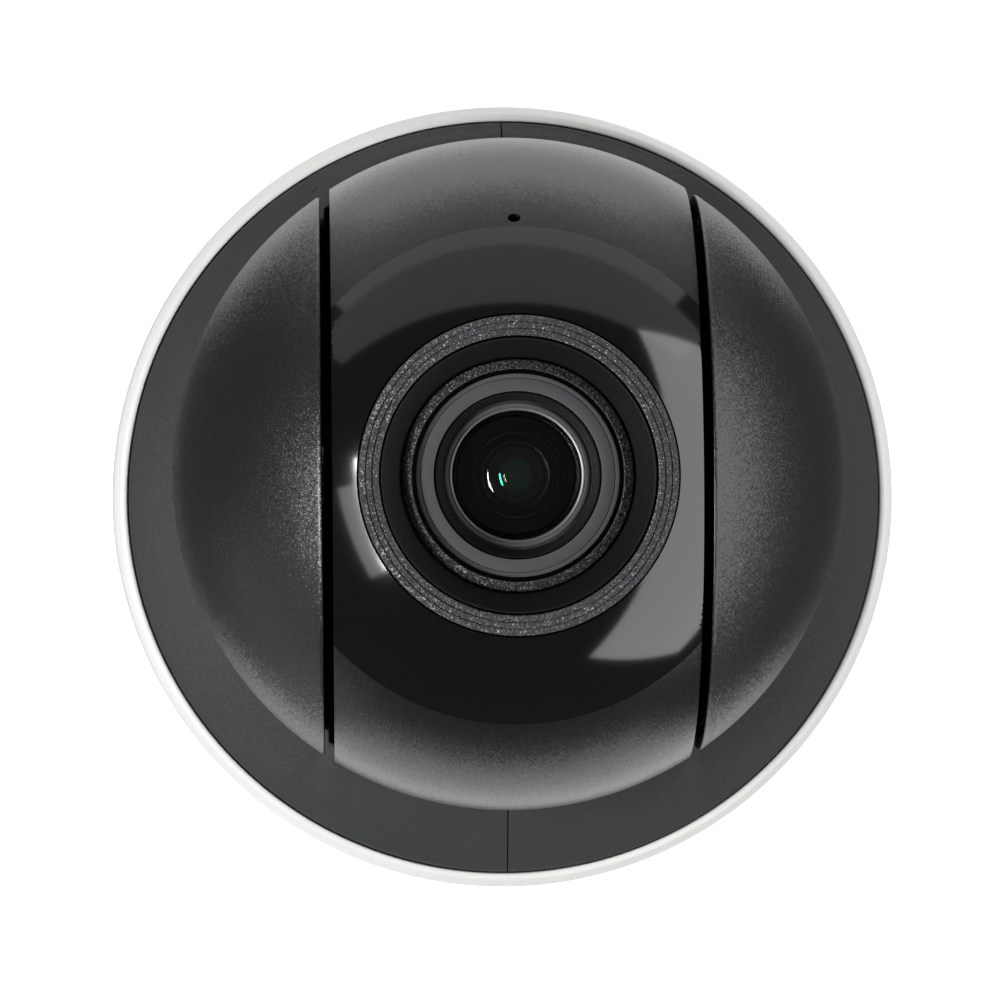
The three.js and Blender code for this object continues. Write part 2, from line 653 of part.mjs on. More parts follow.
function sensorStack() {
  let mount = block([-17, 17], [-10, 10], [-18, -12.3]);
  mount = mount.subtract(block([-14.2, 14.2], [-6.6, 6.6], [-15.9, -13.9]));
  mount = mount.subtract(rod(5, [-16, -10])).subtract(block([-5.5, 5.5], [-5, 5], [-20, -15]));
  const chip = block([-4.6, 4.6], [-4, 4], [-18, -16.6]);
  let board = block([-18, 18], [-15, 15], [-19.9, -18.3]);
  board = board.add(block([9, 15], [-12, 8], [-21.6, -19.5]));
  let sink = block([-17, 7.5], [-13, 13], [-22.2, -20.2]);
  for (let i = 0; i < 6; i += 1) {
    const x = -17 + i * 4.6;
    sink = sink.add(block([x, x + 1.5], [-13, 13], [-30, -22]));
  }
  return [
    piece('sensor_mount', mount, blackPlastic),
    piece('image_sensor', chip, lensCoating),
    piece('sensor_board', board, circuitGreen),
    piece('heat_sink', sink, aluminium),
  ];
}

function filterSlide() {
  const frame = block([-13.7, 6.7], [-6.2, 6.2], [-15.4, -14.4]);
  return piece('filter_slide', frame.subtract(rod(3, [-16, -15])), clearGlass);
}

// The plate across the ball that holds the lens barrel, and the lamp board under the window.
function innerFrame() {
  let body = block([-26, 26], [-35.5, 35.5], [24, 26]);
  for (const y of [-35.5, 33.5]) {
    body = body.add(block([-26, 26], [y, y + 2], [14, 26]));
  }
  return piece('inner_frame', body.subtract(rod(BARREL.outer + GAP, [20, 30])), steel);
}

function lampBoard() {
  let body = ring(22, 34.5, [35.4, 36.8], { segments: 24 });
  for (const y of [-1, 1]) {
    for (const x of [-13, 0, 13]) {
      const at = [x, y * Math.sqrt(28.5 ** 2 - x ** 2), 0];
      const lamp = [[0, 36.5], [2.4, 36.5], [2.4, 39.2], [1.6, 40.4], [0, 40.8]];
      body = body.add(turned(lamp, { at, segments: ROUND.tiny }));
    }
  }
  const trimmed = body.intersect(block([-26.2, 26.2], [-40, 40], [30, 45]));
  return piece('lamp_board', trimmed, circuitGreen);
}

function microphone() {
  const capsule = new THREE.CylinderGeometry(2.8, 2.8, 2.2, ROUND.small);
  const lean = Math.asin(MIC.y / BALL.radius);
  capsule.translate(0, 47.2, 0).rotateX(Math.PI / 2 - lean);
  return piece('mic_capsule', solid(capsule), brightMetal);
}

function journals() {
  const options = { axis: 'x' };
  const right = rod(9, [24, 26.1], options).add(rod(5, [25, 38], options));
  const left = rod(9, [-26.1, -24], options)
    .add(rod(5, [-35.9, -25], options))
    .add(rod(7, [-35.9, -34.9], { ...options, segments: ROUND.small }))
    .add(block([-35.9, -34.9], [-3, 3], [0, 15]))
    .subtract(rod(3.2, [-40, -20], options));
  const { module, gearTeeth, from, to } = TILT_GEAR;
  const outline = new THREE.Shape(gearOutline(gearTeeth, module));
  outline.holes.push(circleHole(5.3));
  const gear = extruded(outline, [from, to], options);
  return [
    piece('right_journal', right, steel),
    piece('left_journal', left, steel),
    piece('tilt_gear', gear, whiteAcetal),
  ];
}

// ---------------------------------------------------------------- assembly
const camera = new THREE.Group();
camera.add(mountPlate(), baseTray(), baseHousing(), ...baseSeals(), mainBoard(), ...serviceParts());
TRAY_SCREWS.forEach(([x, y], i) => {
  camera.add(screw(`tray_screw_${i + 1}`, 2.7, 1.3, [2.6, 4.7, 15.5], [x, y, 0]));
});
camera.add(panRingGear(), racePart('bearing_outer_race', 1, 61.9, 58.7));
camera.add(bearingCage());

const panHead = new THREE.Group();
panHead.add(turntable(), racePart('bearing_inner_race', -1, 53.2, 56.3));
[['left', -1], ['right', 1]].forEach(([word, side]) => {
  panHead.add(halfShell(`${word}_half_shell`, side));
  panHead.add(yoke(`${word}_yoke`, side), bushing(`${word}_bushing`, side));
  const at = [side * SHELL_SCREW[0], SHELL_SCREW[1], 0];
  panHead.add(screw(`${word}_shell_screw`, 2.6, 1.2, [29.6, 31.5, 40.5], at));
});
panHead.add(panMotor(), panPinion(), tiltMotor(), tiltPinion(), ...headElectronics());
camera.add(panHead);

const tiltHead = new THREE.Group();
tiltHead.position.set(...ballCentre);
tiltHead.add(frontShell(), rearShell(), frontWindow(), windowSeal(), ...lensRings());
tiltHead.add(lensElement('front_lens', 9.7, [33, 37.4, 40.4], lensCoating));
tiltHead.add(lensBarrel(), ...guideRods(), innerFrame(), lampBoard(), microphone());
tiltHead.add(pierced('iris_plate', ring(4, 12.1, [10, 11]), blackPlastic));
tiltHead.add(lensGroup('zoom_group', 8.6, [18, 21]), lensGroup('focus_group', 6.5, [-4, -1]));
tiltHead.add(filterSlide(), ...sensorStack(), ...journals());
BALL_SCREWS.forEach((y, i) => {
  tiltHead.add(screw(`ball_screw_${i + 1}`, 2.7, 1.2, [-17, -14.4, -2], [0, y, 0]));
});
camera.add(tiltHead);

export default camera;
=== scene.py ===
"""The look of a small pan-tilt dome security camera: white powder-coated base, black moulded
turning head with two ears, and a tilting ball with a polished window and a zoom lens."""

import json
import math

import bmesh
import bpy
from mathutils import Matrix, Vector


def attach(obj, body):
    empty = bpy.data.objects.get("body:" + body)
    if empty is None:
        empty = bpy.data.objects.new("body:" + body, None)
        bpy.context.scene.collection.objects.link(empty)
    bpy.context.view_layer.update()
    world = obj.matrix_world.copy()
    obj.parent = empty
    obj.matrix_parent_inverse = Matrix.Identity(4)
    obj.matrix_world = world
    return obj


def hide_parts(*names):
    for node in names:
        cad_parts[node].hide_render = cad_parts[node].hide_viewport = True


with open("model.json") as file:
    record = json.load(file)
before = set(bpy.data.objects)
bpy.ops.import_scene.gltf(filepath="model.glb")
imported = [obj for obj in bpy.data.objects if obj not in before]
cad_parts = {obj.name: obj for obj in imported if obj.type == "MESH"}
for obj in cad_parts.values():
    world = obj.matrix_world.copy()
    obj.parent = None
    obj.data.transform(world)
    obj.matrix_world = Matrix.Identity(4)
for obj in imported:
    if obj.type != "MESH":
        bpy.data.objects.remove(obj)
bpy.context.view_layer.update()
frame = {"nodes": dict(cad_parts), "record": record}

MM = 0.001
TAU = 2 * math.pi

# Sizes in millimetres. The tilt axis runs along X through the ball's centre.
CENTRE = Vector((0, 4, 60))
BALL = 54.4  # radius of the ball and of the ears
BALL_SIDE = 28.6  # the ball is cut flat this far to each side
BALL_WALL = 2.2
BALL_INNER = BALL - BALL_WALL
PARTING = -8  # height of the line between the ball's front and back skins
PARTING_GAP = 0.1
WINDOW = 38.7  # radius of the window's rim
WINDOW_GAP = 0.02
WINDOW_HOLE = 24.9
EAR_SIDE = 30.15  # where an ear's rim starts
EAR_FOOT = -19  # both feet are hidden below the skirt
CHEEK_FOOT = -25.6
SKIRT_INNER, SKIRT_OUTER = 52.7, 61.5  # the skirt's dome lies between these radii
SKIRT_TUCK = 2.2  # how far its inner edge runs on under the ears
MIC_Y = 40
MIC_RADIUS = 1
FINEST = 360  # steps round a skin that shows its outline
FINE = 224  # steps round a large turned shape
SMALL = 128  # steps round a lens ring
CREASE = 32  # degrees between faces, past which an edge stays sharp


# ------------------------------------------------------------------ shaping
def linear(code):
    """An sRGB hex colour as linear light."""
    values = [int(code[i:i + 2], 16) / 255 for i in (1, 3, 5)]
    light = [v / 12.92 if v <= 0.04045 else ((v + 0.055) / 1.055) ** 2.4 for v in values]
    return (*light, 1.0)


def rounded(points, radius, steps=4):
    """A closed outline with each corner rounded, as far as its sides allow."""
    outline = []
    count = len(points)
    for i, corner in enumerate(points):
        here = Vector(corner)
        before = Vector(points[i - 1]) - here
        after = Vector(points[(i + 1) % count]) - here
        reach = min(radius, before.length * 0.45, after.length * 0.45)
        start = here + before.normalized() * reach
        end = here + after.normalized() * reach
        for k in range(steps + 1):
            t = k / steps
            outline.append(start.lerp(here, t).lerp(here.lerp(end, t), t))
    return outline


def sphere_arc(radius, low, high, steps):
    """Points (distance from axis, height) on a sphere's outline between two heights."""
    first, last = math.asin(low / radius), math.asin(high / radius)
    angles = [first + (last - first) * i / steps for i in range(steps + 1)]
    return [(radius * math.cos(a), radius * math.sin(a)) for a in angles]


def turned(outline, steps=FINE, along="z", sweep=TAU, closed=True):
    """An outline of (distance from axis, height) spun about Z or X into a skin."""
    bm = bmesh.new()
    corners = [bm.verts.new((r, 0, h)) for r, h in outline]
    pairs = list(zip(corners, corners[1:]))
    if closed:
        pairs.append((corners[-1], corners[0]))
    edges = [bm.edges.new(pair) for pair in pairs]
    full = sweep >= TAU
    bmesh.ops.spin(bm, geom=corners + edges, cent=(0, 0, 0), axis=(0, 0, 1), dvec=(0, 0, 0),
                   angle=sweep, steps=steps, use_merge=full, use_duplicate=False)
    bmesh.ops.remove_doubles(bm, verts=bm.verts, dist=1e-5)
    bmesh.ops.dissolve_degenerate(bm, dist=1e-6, edges=bm.edges)
    if not full:
        rims = [e for e in bm.edges if e.is_boundary]
        bmesh.ops.holes_fill(bm, edges=rims, sides=0)
    if along == "x":
        bmesh.ops.rotate(bm, cent=(0, 0, 0), matrix=Matrix.Rotation(math.pi / 2, 3, "Y"),
                         verts=bm.verts)
    bmesh.ops.recalc_face_normals(bm, faces=bm.faces)
    return bm


def cut(bm, point, normal, edge=0.0):
    """Removes what lies beyond a plane, closes the cut and softens its rim."""
    found = bmesh.ops.bisect_plane(bm, geom=bm.verts[:] + bm.edges[:] + bm.faces[:], dist=1e-6,
                                   plane_co=point, plane_no=normal, clear_outer=True)
    rim = [e for e in found["geom_cut"] if isinstance(e, bmesh.types.BMEdge)]
    bmesh.ops.holes_fill(bm, edges=rim, sides=0)
    if edge > 0:
        rim = [e for e in rim if e.is_valid]
        bmesh.ops.bevel(bm, geom=rim, offset=edge, segments=3, profile=0.5, affect="EDGES",
                        material=-1, clamp_overlap=True)
    bmesh.ops.recalc_face_normals(bm, faces=bm.faces)


def on_side(bm, side):
    """A mesh drawn on the right, mirrored to the left where side is -1."""
    if side < 0:
        bmesh.ops.scale(bm, vec=(-1, 1, 1), verts=bm.verts)
        bmesh.ops.recalc_face_normals(bm, faces=bm.faces)
    return bm


def joined(parts):
    """Several skins in one mesh."""
    whole = parts[0]
    for part in parts[1:]:
        spare = bpy.data.meshes.new("spare")
        part.to_mesh(spare)
        whole.from_mesh(spare)
        part.free()
        bpy.data.meshes.remove(spare)
    return whole


def settle(bm, name, material, body, replaces=(), shift=CENTRE):
    """Turns a mesh drawn in millimetres into a finished piece that rides on its body."""
    bmesh.ops.translate(bm, vec=shift, verts=bm.verts)
    bmesh.ops.scale(bm, vec=(MM, MM, MM), verts=bm.verts)
    mesh = bpy.data.meshes.new(name)
    bm.to_mesh(mesh)
    bm.free()
    for face in mesh.polygons:
        face.use_smooth = True
    mesh.set_sharp_from_angle(angle=math.radians(CREASE))
    piece = bpy.data.objects.new(name, mesh)
    bpy.context.scene.collection.objects.link(piece)
    mesh.materials.append(material)
    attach(piece, body)
    if replaces:
        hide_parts(*replaces)
    return piece


def drill(piece, direction, radius, reach):
    """Cuts a round hole through a piece, along a direction from the ball's centre."""
    near, far = reach
    bm = bmesh.new()
    bmesh.ops.create_cone(bm, cap_ends=True, segments=48, radius1=radius, radius2=radius,
                          depth=far - near)
    bmesh.ops.translate(bm, vec=(0, 0, (near + far) / 2), verts=bm.verts)
    turn = direction.to_track_quat("Z", "Y").to_matrix()
    bmesh.ops.rotate(bm, cent=(0, 0, 0), matrix=turn, verts=bm.verts)
    bmesh.ops.translate(bm, vec=CENTRE, verts=bm.verts)
    bmesh.ops.scale(bm, vec=(MM, MM, MM), verts=bm.verts)
    mesh = bpy.data.meshes.new("bit")
    bm.to_mesh(mesh)
    bm.free()
    bit = bpy.data.objects.new("bit", mesh)
    bpy.context.scene.collection.objects.link(bit)
    hole = piece.modifiers.new("hole", "BOOLEAN")
    hole.object = bit
    hole.solver = "EXACT"
    view = bpy.context.evaluated_depsgraph_get()
    cut_mesh = bpy.data.meshes.new_from_object(piece.evaluated_get(view))
    piece.modifiers.remove(hole)
    piece.data = cut_mesh
    bpy.data.objects.remove(bit)
    bpy.data.meshes.remove(mesh)


# ------------------------------------------------------------------ materials
def add(tree, kind, links=(), values=(), **settings):
    """Adds a node with its settings, its inputs' values and the links into it."""
    node = tree.nodes.new(kind)
    for name, value in settings.items():
        setattr(node, name, value)
    for socket, value in dict(values).items():
        node.inputs[socket].default_value = value
    for socket, source in dict(links).items():
        tree.links.new(source, node.inputs[socket])
    return node


def start(name, colour, **values):
    """A new material with its Principled shader set."""
    material = bpy.data.materials.new(name)
    material.use_nodes = True
    shader = material.node_tree.nodes["Principled BSDF"]
    shader.inputs["Base Color"].default_value = linear(colour)
    for socket, value in values.items():
        shader.inputs[socket.replace("_", " ")].default_value = value
    return material, material.node_tree, shader


def grain(tree, shader, size, depth, spread=0.0, detail=2.0):
    """Moulded or sprayed grain of a size in millimetres: a bump, and a little uneven gloss."""
    place = add(tree, "ShaderNodeTexCoord").outputs["Object"]
    noise = add(tree, "ShaderNodeTexNoise", {"Vector": place},
                {"Scale": 1 / (size * MM), "Detail": detail, "Roughness": 0.6})
    bump = add(tree, "ShaderNodeBump", {"Height": noise.outputs["Fac"]},
               {"Strength": 1.0, "Distance": depth * MM})
    tree.links.new(bump.outputs["Normal"], shader.inputs["Normal"])
    if spread > 0:
        rough = shader.inputs["Roughness"].default_value
        uneven = add(tree, "ShaderNodeMapRange", {"Value": noise.outputs["Fac"]},
                     {"From Min": 0.3, "From Max": 0.7, "To Min": rough - spread,
                      "To Max": rough + spread})
        tree.links.new(uneven.outputs["Result"], shader.inputs["Roughness"])
    return place


def sparkle(tree, shader, place, size, tilt):
    """Flakes of a size in millimetres, each lying a little askew, so a few catch the light."""
    flakes = add(tree, "ShaderNodeTexVoronoi", {"Vector": place}, {"Scale": 1 / (size * MM)})
    lean = add(tree, "ShaderNodeVectorMath", {0: flakes.outputs["Color"]}, {1: (0.5, 0.5, 0.5)},
               operation="SUBTRACT")
    part = add(tree, "ShaderNodeVectorMath", {0: lean.outputs[0]}, {"Scale": tilt},
               operation="SCALE")
    flat = add(tree, "ShaderNodeNewGeometry").outputs["Normal"]
    both = add(tree, "ShaderNodeVectorMath", {0: flat, 1: part.outputs[0]}, operation="ADD")
    unit = add(tree, "ShaderNodeVectorMath", {0: both.outputs[0]}, operation="NORMALIZE")
    tree.links.new(unit.outputs[0], shader.inputs["Normal"])


def cloud(tree, shader, place, first, second, size):
    """A faint change of tone over a size in millimetres, so the surface isn't one flat colour."""
    noise = add(tree, "ShaderNodeTexNoise", {"Vector": place},
                {"Scale": 1 / (size * MM), "Detail": 3.0})
    mix = add(tree, "ShaderNodeMix", {"Factor": noise.outputs["Fac"]}, data_type="RGBA")
    mix.inputs[6].default_value = linear(first)
    mix.inputs[7].default_value = linear(second)
    tree.links.new(mix.outputs[2], shader.inputs["Base Color"])


def powder_coat_white():
    """White powder coat on cast aluminium: matt-satin with a fine orange peel."""
    material, tree, shader = start("white_powder_coat", "#eaeae8", Roughness=0.42, IOR=1.5)
    place = grain(tree, shader, 0.9, 0.012, 0.05)
    cloud(tree, shader, place, "#e8e8e6", "#eeeeec", 14)
    return material


def moulded_black(name, flake, tilt, rough, low, high, gloss=0.5):
    """Black ABS with a flaked satin paint: it glitters finely where a lamp is reflected."""
    material, tree, shader = start(name, low, Roughness=rough, IOR=1.5)
    shader.inputs["Specular IOR Level"].default_value = gloss
    place = grain(tree, shader, 0.34, 0.01, 0.04, 3.0)
    sparkle(tree, shader, place, flake, tilt)
    cloud(tree, shader, place, low, high, 9)
    return material


def polished_window():
    """Infrared-pass polycarbonate, polished: nearly black, with clear reflections. Its IOR is a
    little over the plastic's own 1.58, so the reflections are as bright as they should be."""
    material, tree, shader = start("polished_black_polycarbonate", "#040405", Roughness=0.09,
                                   IOR=1.64)
    place = add(tree, "ShaderNodeTexCoord").outputs["Object"]
    cloud(tree, shader, place, "#030304", "#060607", 20)
    return material


def speckled_lacquer(name, colour, rough):
    """Dark lacquer with fine metal flakes, as on lens bezels: it shows as bright specks. The
    flakes are drawn coarser than real ones, so that they show."""
    flake = 0.4
    material, tree, shader = start(name, colour, Roughness=rough)
    place = grain(tree, shader, 0.3, 0.03, 0.08, 3.0)
    sparkle(tree, shader, place, flake * 0.6, 0.75)
    flakes = add(tree, "ShaderNodeTexVoronoi", {"Vector": place}, {"Scale": 1 / (flake * MM)})
    bright = add(tree, "ShaderNodeMapRange", {"Value": flakes.outputs["Distance"]},
                 {"From Min": 0.05, "From Max": 0.3, "To Min": 1.0, "To Max": 0.0})
    mix = add(tree, "ShaderNodeMix", {"Factor": bright.outputs["Result"]}, data_type="RGBA")
    mix.inputs[6].default_value = linear(colour)
    mix.inputs[7].default_value = linear("#9a9a9c")
    tree.links.new(mix.outputs[2], shader.inputs["Base Color"])
    return material


def turned_metal(name, colour, rough):
    """Metal turned on a lathe: fine rings about the lens axis, 0.35 mm apart."""
    material, tree, shader = start(name, colour, Roughness=rough, Metallic=1.0)
    place = add(tree, "ShaderNodeTexCoord").outputs["Object"]
    centred = add(tree, "ShaderNodeMapping", {"Vector": place},
                  {"Location": (0, -CENTRE.y * MM, 0), "Scale": (1, 1, 0)})
    rings = add(tree, "ShaderNodeTexWave", {"Vector": centred.outputs["Vector"]},
                {"Scale": 1 / (0.35 * MM) / TAU, "Distortion": 0.4},
                wave_type="RINGS", rings_direction="SPHERICAL")
    bump = add(tree, "ShaderNodeBump", {"Height": rings.outputs["Fac"]},
               {"Strength": 0.5, "Distance": 0.004 * MM})
    tree.links.new(bump.outputs["Normal"], shader.inputs["Normal"])
    return material


def rolled_metal(name, colour, rough):
    """Zinc-plated, cast or pressed metal of the inner parts, with a gloss that varies a little."""
    material, tree, shader = start(name, colour, Roughness=rough, Metallic=1.0)
    grain(tree, shader, 1.2, 0.01, 0.08)
    return material


def plain_moulding(name, first, second, rough):
    """Plain plastic, rubber or anodised surface: even, with a very fine grain."""
    material, tree, shader = start(name, first, Roughness=rough)
    place = grain(tree, shader, 0.5, 0.01, 0.05)
    cloud(tree, shader, place, first, second, 6)
    return material


def circuit_board():
    """Glass-epoxy board under green solder mask: the weave shows faintly through it."""
    material, tree, shader = start("green_solder_mask", "#1d5a38", Roughness=0.35)
    place = grain(tree, shader, 0.8, 0.006, 0.05)
    cloud(tree, shader, place, "#184b2f", "#236742", 3)
    return material


def coated_glass(name, tint, smoke, index=1.5):
    """Optical glass: see-through, a little smoky, and its coating tints what it reflects."""
    material, tree, shader = start(name, smoke, Roughness=0.02)
    place = add(tree, "ShaderNodeTexCoord").outputs["Object"]
    haze = add(tree, "ShaderNodeTexNoise", {"Vector": place}, {"Scale": 1 / (4 * MM)})
    tone = add(tree, "ShaderNodeMix", {"Factor": haze.outputs["Fac"]}, data_type="RGBA")
    tone.inputs[6].default_value = linear(smoke)
    tone.inputs[7].default_value = [min(1.0, v * 1.1) for v in linear(smoke)]
    through = add(tree, "ShaderNodeBsdfTransparent", {"Color": tone.outputs[2]})
    mirror = add(tree, "ShaderNodeBsdfGlossy", {}, {"Color": linear(tint), "Roughness": 0.02})
    fresnel = add(tree, "ShaderNodeFresnel", {}, {"IOR": index})
    mix = add(tree, "ShaderNodeMixShader",
              {0: fresnel.outputs[0], 1: through.outputs[0], 2: mirror.outputs[0]})
    tree.links.new(mix.outputs[0], tree.nodes["Material Output"].inputs["Surface"])
    tree.nodes.remove(shader)
    return material


WHITE = powder_coat_white()
SHELL = moulded_black("flaked_black_ear_paint", 0.2, 0.24, 0.38, "#0f1010", "#131414", 0.75)
# The skirt's paint is a lighter copy of the ears' flaked black: painted light that stands in for
# the sheen the skirt catches.
SKIRT_PAINTED_LIGHT = moulded_black("flaked_black_skirt_with_painted_light", 0.22, 0.3, 0.5, "#3a3b3c", "#404142", 0.1)
BALL_SKIN = moulded_black("fine_flaked_black_ball_paint", 0.2, 0.1, 0.3, "#131414", "#161718", 0.45)
INNER_BLACK = moulded_black("matt_black_moulding", 0.3, 0.1, 0.65, "#090909", "#0d0d0e", 0.25)
GLOSS = polished_window()
BEZEL = speckled_lacquer("ridged_bezel_lacquer", "#3f4042", 0.38)
COLLAR = speckled_lacquer("barrel_collar_lacquer", "#303132", 0.42)
RING = plain_moulding("satin_grey_anodising", "#4c4d4f", "#515254", 0.5)
EDGE = plain_moulding("lens_edge_blacking", "#2c2d2e", "#323334", 0.4)
BRIGHT = turned_metal("turned_bright_metal", "#98999b", 0.5)
GLASS = coated_glass("coated_glass", "#ffffff", "#b9bdbd")
CLEAR = coated_glass("clear_glass", "#ffffff", "#f2f4f4")
GREEN_COAT = coated_glass("green_coated_element", "#3ff0b4", "#c9cfcc", 1.9)
CREAM_COAT = coated_glass("cream_coated_element", "#ffd9a6", "#c9c9c6", 1.7)
STEEL = rolled_metal("zinc_plated_steel", "#9c9ea0", 0.38)
ALUMINIUM = rolled_metal("cast_aluminium", "#a5a7a9", 0.45)
ACETAL = plain_moulding("natural_acetal", "#dedbd0", "#e8e6dd", 0.45)
RUBBER = plain_moulding("black_rubber", "#161616", "#1c1c1c", 0.85)
BOARD = circuit_board()

BY_SLOT = {
    "white_housing": WHITE, "black_shell": SHELL, "black_plastic": INNER_BLACK,
    "black_window": GLOSS, "coated_glass": GLASS, "clear_glass": CLEAR, "satin_grey": RING,
    "bright_metal": BRIGHT, "steel": STEEL, "aluminium": ALUMINIUM, "white_acetal": ACETAL,
    "black_rubber": RUBBER, "circuit_board": BOARD,
}
for entry in frame["record"]["subparts"]:
    node = frame["nodes"][entry["node"]]
    node.data.materials.clear()
    node.data.materials.append(BY_SLOT[entry["material_slot"]])


# ------------------------------------------------------------------ base
def base_housing():
    """The white dish: a slightly swelling wall, a round shoulder and a lip round the skirt."""
    outline = [(63.4, 0.8), (64.6, 14), (65.3, 31), (64.9, 34.6), (63.6, 37), (62.5, 37.1),
               (62.5, 34.8), (62.3, 33.4), (62.3, 26), (53, 26), (53, 22), (62.3, 18), (62.3, 0.8)]
    bm = turned(rounded(outline, 1.4, 6))
    settle(bm, "white_base_housing", WHITE, "base", ["base_housing"], Vector())


# ------------------------------------------------------------------ pan head
def half_skirt(side):
    """Half of the skirt: a shallow dome whose inner edge follows the ball, off the pan axis."""
    outline = [(60.6, 35.4), (62, 35.4), (62.2, 37.9), (61.7, 38.6), (59, 40.7), (55.5, 42.9),
               (52.8, 44.1), (52.6, 42.6), (55, 41.2), (58.2, 39), (60.5, 37.4)]
    bm = turned(rounded(outline, 0.55, 3), FINE // 2, sweep=math.pi)
    turn = -math.pi / 2 if side > 0 else math.pi / 2
    bmesh.ops.rotate(bm, cent=(0, 0, 0), matrix=Matrix.Rotation(turn, 3, "Z"), verts=bm.verts)
    for vert in bm.verts:
        radius = math.hypot(vert.co.x, vert.co.y)
        inward = max(0.0, min(1.0, (SKIRT_OUTER - radius) / (SKIRT_OUTER - SKIRT_INNER)))
        if abs(vert.co.x) > EAR_SIDE - 0.1:
            tuck = 1 - SKIRT_TUCK * inward / radius
            vert.co.x *= tuck
            vert.co.y *= tuck
        vert.co.y += CENTRE.y * inward
    ends = [e for e in bm.edges if all(abs(v.co.x) < 0.01 for v in e.verts)]
    rims = [e for e in ends if any(abs(f.normal.x) < 0.9 for f in e.link_faces)]
    # The skirt's faces take the second slot, the lighter copy of the black that paints light onto
    # the skirt.
    for face in bm.faces:
        face.material_index = 1
    bmesh.ops.translate(bm, vec=(side * 0.09, 0, 0), verts=bm.verts)
    bmesh.ops.bevel(bm, geom=rims, offset=0.12, segments=2, profile=0.5, affect="EDGES",
                    material=-1, clamp_overlap=True)
    bmesh.ops.translate(bm, vec=-CENTRE, verts=bm.verts)
    return bm


def ear(side):
    """The side of a sphere of the ball's own radius, open towards the ball."""
    outer_arc = sphere_arc(BALL, EAR_SIDE, BALL, 56)
    inner_arc = sphere_arc(BALL_INNER, EAR_SIDE, BALL_INNER, 56)
    rim = rounded([outer_arc[2], outer_arc[0], inner_arc[0], inner_arc[2]], 0.9, 5)[5:-5]
    outline = inner_arc[:3:-1] + rim[::-1] + outer_arc[4:]
    bm = on_side(turned(outline, FINE, "x", closed=False), side)
    cut(bm, (0, 0, EAR_FOOT), (0, 0, -1))
    return bm


def half_shell(name, side):
    """An ear and half of the skirt, which are one moulding; the skirt's paint is a lighter copy,
    painted light.
    """
    bm = joined([ear(side), half_skirt(side)])
    shell = settle(bm, f"{name}_shell_and_ear", SHELL, "pan_head", [f"{name}_half_shell"])
    # The second slot is the lighter copy of the black paint, which is painted light on the skirt.
    shell.data.materials.append(SKIRT_PAINTED_LIGHT)


def cheek(name, side):
    """The dark cheek behind the ear's rim, with a rib round its edge."""
    near, far = EAR_SIDE + 0.5, EAR_SIDE + 2.7
    outline = [(7.2, near), (38, near), (38.6, near - 0.1), (41, near - 0.1), (41, near + 0.8),
               (39.6, near + 0.8), (39.6, far), (7.2, far)]
    bm = on_side(turned(rounded(outline, 0.2, 2), SMALL, "x"), side)
    cut(bm, (0, 0, CHEEK_FOOT), (0, 0, -1))
    settle(bm, f"{name}_cheek", INNER_BLACK, "pan_head", [f"{name}_yoke"])


# ------------------------------------------------------------------ tilting ball
def side_wall(side, above):
    """A flat side of the ball, above or below the parting line."""
    outline = [(0, 26.4), (43.4, 26.4), (43.4, 28.5), (0, 28.5)]
    bm = on_side(turned(outline, SMALL, "x", closed=False), side)
    step = PARTING + (0.06 if above else -0.06)
    cut(bm, (0, 0, step), (0, 0, -1 if above else 1))
    return bm


def trimmed(bm, edge=0.75):
    """A skin of the ball with its two sides cut flat."""
    for side in (-1, 1):
        cut(bm, (side * BALL_SIDE, 0, 0), (side, 0, 0), edge)
    return bm


def front_shell():
    """The ball's front skin round the window, with the microphone's hole above the window."""
    low = PARTING + PARTING_GAP
    rim, inner_rim = [math.sqrt(r ** 2 - (WINDOW + WINDOW_GAP) ** 2) for r in (BALL, BALL_INNER)]
    outline = sphere_arc(BALL, low, rim, 60) + sphere_arc(BALL_INNER, low, inner_rim, 20)[::-1]
    bm = trimmed(turned(outline, FINEST))
    return joined([bm, side_wall(-1, True), side_wall(1, True)])


def rear_shell():
    """The ball's closed back half."""
    high = PARTING - PARTING_GAP
    outer_arc = sphere_arc(BALL, -BALL, high, 60)
    inner_arc = sphere_arc(BALL_INNER, -BALL_INNER, high, 24)
    bm = trimmed(turned(outer_arc + inner_arc[::-1], FINE, closed=False))
    return joined([bm, side_wall(-1, False), side_wall(1, False)])


def front_window():
    """The polished dark window: a slice of the ball's skin round the lens."""
    low, high = [math.sqrt(BALL ** 2 - r ** 2) for r in (WINDOW, WINDOW_HOLE)]
    inner_low, inner_high = [math.sqrt(BALL_INNER ** 2 - r ** 2) for r in (WINDOW, WINDOW_HOLE)]
    inner_arc = sphere_arc(BALL_INNER, inner_low, inner_high, 12)
    outline = sphere_arc(BALL, low, high, 40) + inner_arc[::-1]
    return trimmed(turned(outline, FINEST), 0.5)


def bezel_ring():
    """Three flat bands round the lens recess, with a thin groove between each pair."""
    top = 49.5
    bottom = top - 0.25
    outline = [(21.5, 43), (24.6, 43), (24.6, top - 0.35), (24.45, top - 0.1)]
    for edge, groove in ((23.68, 23.6), (22.66, 22.55)):
        outline += [(edge, top), (groove + 0.03, bottom), (groove - 0.08, bottom),
                    (groove - 0.11, top)]
    outline += [(21.7, top), (21.5, top - 0.15)]
    return turned(outline, FINE)


def lens_hood():
    """The dark funnel between the bezel and the lens barrel."""
    outline = [(21.2, 43.6), (21.2, 49.1), (20.9, 49.1), (20.6, 48.6), (18.35, 45), (18.2, 44.6),
               (18.2, 39), (19.4, 39), (19.4, 43.6)]
    return turned(rounded(outline, 0.2, 2), SMALL)


def barrel_collar():
    """The speckled collar round the lens barrel, its top sloping in towards the lens."""
    outline = [(16.4, 38.6), (17.9, 38.6), (17.9, 44.9), (16.5, 45.5), (16.4, 45.4)]
    return turned(rounded(outline, 0.25, 3), SMALL)


